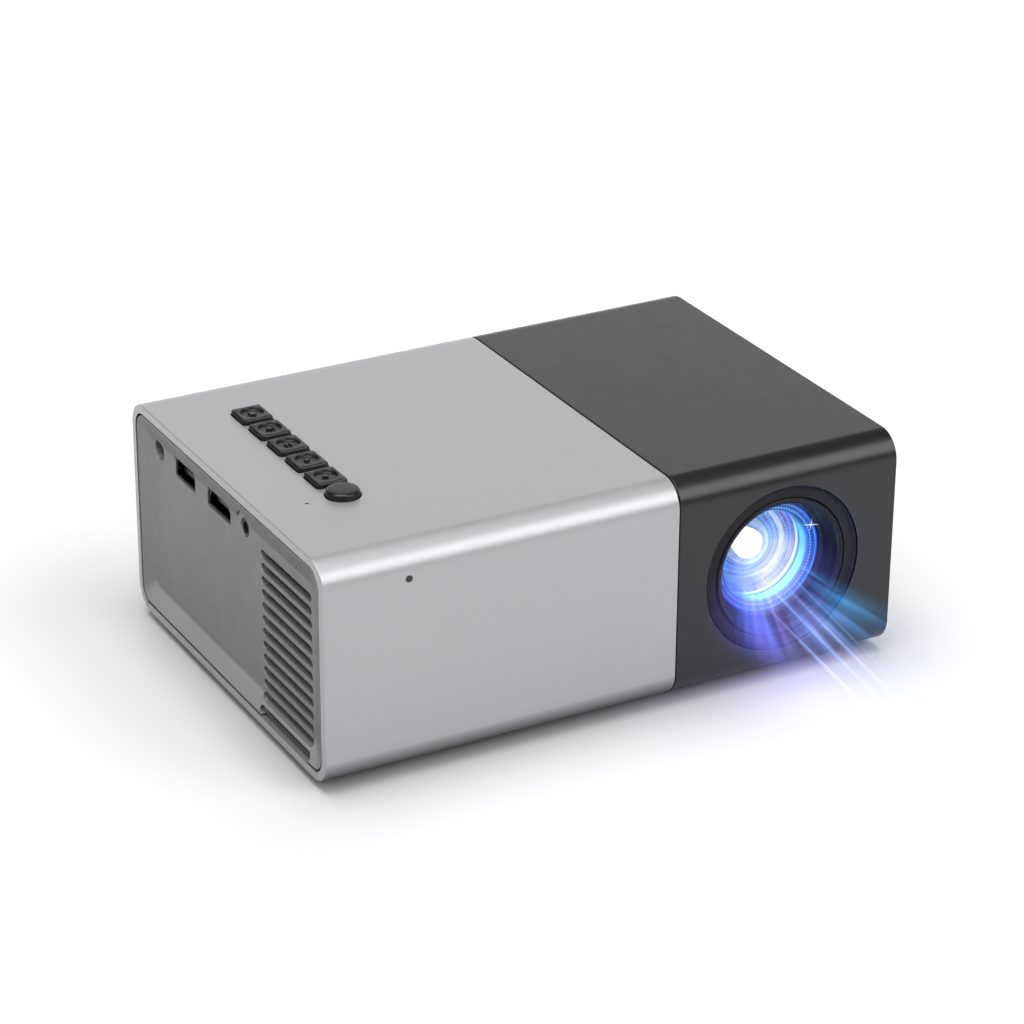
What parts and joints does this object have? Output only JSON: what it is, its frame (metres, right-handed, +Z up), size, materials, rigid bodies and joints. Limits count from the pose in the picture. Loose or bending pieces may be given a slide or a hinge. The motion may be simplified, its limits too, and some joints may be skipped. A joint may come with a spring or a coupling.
{
  "type": "home projector",
  "caption": "Compact home projector: rounded silver and black casing with dished end panels, top keys, ports, vents and a turning focus ring round the lens.",
  "frame": {"origin": "centre of the base on the surface that the feet stand on, under the middle of the casing", "axes": "+X along the length towards the lens end, +Z up, and the lens looks along -Y"},
  "size_m": [0.182, 0.128, 0.0713],
  "materials": {
    "silver_plastic": "satin silver-grey paint on moulded ABS",
    "graphite_plastic": "satin graphite black moulded ABS",
    "foot_rubber": "matt soft rubber",
    "brass_insert": "machined brass",
    "screw_steel": "zinc-plated steel",
    "mesh_steel": "fine woven dust screen",
    "board": "green solder mask",
    "black_plastic": "black moulded plastic",
    "heat_sink_aluminium": "extruded aluminium",
    "port_steel": "nickel-plated pressed steel",
    "light_pipe": "clear acrylic",
    "key_plastic": "satin black key tops",
    "fan_plastic": "black nylon",
    "led_yellow": "phosphor-coated LED array",
    "reflector": "metallised reflector",
    "optical_glass": "coated optical glass and acrylic",
    "lcd_glass": "liquid crystal panel",
    "mirror_glass": "front-silvered mirror",
    "ring_plastic": "satin black moulded ring",
    "speaker_paper": "coated paper cone",
    "wire_jacket": "PVC insulated wire",
    "ribbon_film": "polyimide flat cable"
  },
  "bodies": {
    "casing": {"main_shell": "silver_plastic", "lens_cover": "graphite_plastic", "base_tray": "silver_plastic", "port_panel": "silver_plastic", "side_panel": "graphite_plastic", "foot_front_left": "foot_rubber", "foot_front_right": "foot_rubber", "foot_rear_left": "foot_rubber", "foot_rear_right": "foot_rubber", "tripod_insert": "brass_insert", "case_screws": "screw_steel", "inner_screws": "screw_steel", "outlet_mesh": "mesh_steel", "intake_mesh": "mesh_steel", "main_board": "board", "board_parts": "black_plastic", "tact_switches": "black_plastic", "processor_sink": "heat_sink_aluminium", "dc_jack": "black_plastic", "usb_port": "port_steel", "hdmi_port": "port_steel", "av_port": "black_plastic", "ir_receiver": "black_plastic", "ir_window": "black_plastic", "status_light_pipe": "light_pipe", "fan_frame": "black_plastic", "heat_sink": "heat_sink_aluminium", "led_board": "heat_sink_aluminium", "led_emitter": "led_yellow", "reflector_cup": "reflector", "condenser_lens": "optical_glass", "heat_glass": "optical_glass", "fresnel_rear": "optical_glass", "lcd_panel": "lcd_glass", "fresnel_front": "optical_glass", "engine_base": "black_plastic", "engine_lid": "black_plastic", "fold_mirror": "mirror_glass", "mirror_holder": "black_plastic", "lens_bezel": "black_plastic", "lens_mount": "black_plastic", "speaker_frame": "black_plastic", "speaker_cone": "speaker_paper", "internal_leads": "wire_jacket", "lcd_ribbon": "ribbon_film"},
    "key_1": {"key_1": "key_plastic"},
    "key_2": {"key_2": "key_plastic"},
    "key_3": {"key_3": "key_plastic"},
    "key_4": {"key_4": "key_plastic"},
    "key_5": {"key_5": "key_plastic"},
    "power_button": {"power_button": "key_plastic"},
    "focus_ring": {"focus_ring": "ring_plastic"},
    "lens_barrel": {"lens_barrel": "black_plastic", "cam_pins": "screw_steel", "front_lens": "optical_glass", "middle_lens": "optical_glass", "rear_lens": "optical_glass", "lens_spacers": "black_plastic", "retaining_ring": "black_plastic"},
    "fan_rotor": {"fan_rotor": "fan_plastic"}
  },
  "joints": [
    {"name": "key_1_press", "type": "slide", "parent": "casing", "child": "key_1", "axis": [0, 0, -1], "range_m": [0, 0.0006], "stiffness_N_per_m": 400, "springref_m": -0.0002},
    {"name": "key_2_press", "type": "slide", "parent": "casing", "child": "key_2", "axis": [0, 0, -1], "range_m": [0, 0.0006], "stiffness_N_per_m": 400, "springref_m": -0.0002},
    {"name": "key_3_press", "type": "slide", "parent": "casing", "child": "key_3", "axis": [0, 0, -1], "range_m": [0, 0.0006], "stiffness_N_per_m": 400, "springref_m": -0.0002},
    {"name": "key_4_press", "type": "slide", "parent": "casing", "child": "key_4", "axis": [0, 0, -1], "range_m": [0, 0.0006], "stiffness_N_per_m": 400, "springref_m": -0.0002},
    {"name": "key_5_press", "type": "slide", "parent": "casing", "child": "key_5", "axis": [0, 0, -1], "range_m": [0, 0.0006], "stiffness_N_per_m": 400, "springref_m": -0.0002},
    {"name": "power_button_press", "type": "slide", "parent": "casing", "child": "power_button", "axis": [0, 0, -1], "range_m": [0, 0.0006], "stiffness_N_per_m": 400, "springref_m": -0.0002},
    {"name": "focus_turn", "type": "hinge", "parent": "casing", "child": "focus_ring", "pos_m": [0.0536, -0.05, 0.0359], "axis": [0, -1, 0], "range_deg": [-45.5, 45.5]},
    {"name": "focus_slide", "type": "slide", "parent": "casing", "child": "lens_barrel", "axis": [0, -1, 0], "range_m": [-0.0022, 0.0022]},
    {"name": "fan_spin", "type": "hinge", "parent": "casing", "child": "fan_rotor", "pos_m": [-0.0815, -0.0367, 0.031], "axis": [1, 0, 0], "continuous": true}
  ],
  "couplings": [
    {"joint": "focus_turn", "follows": "focus_slide", "rad_per_m": 357}
  ]
}
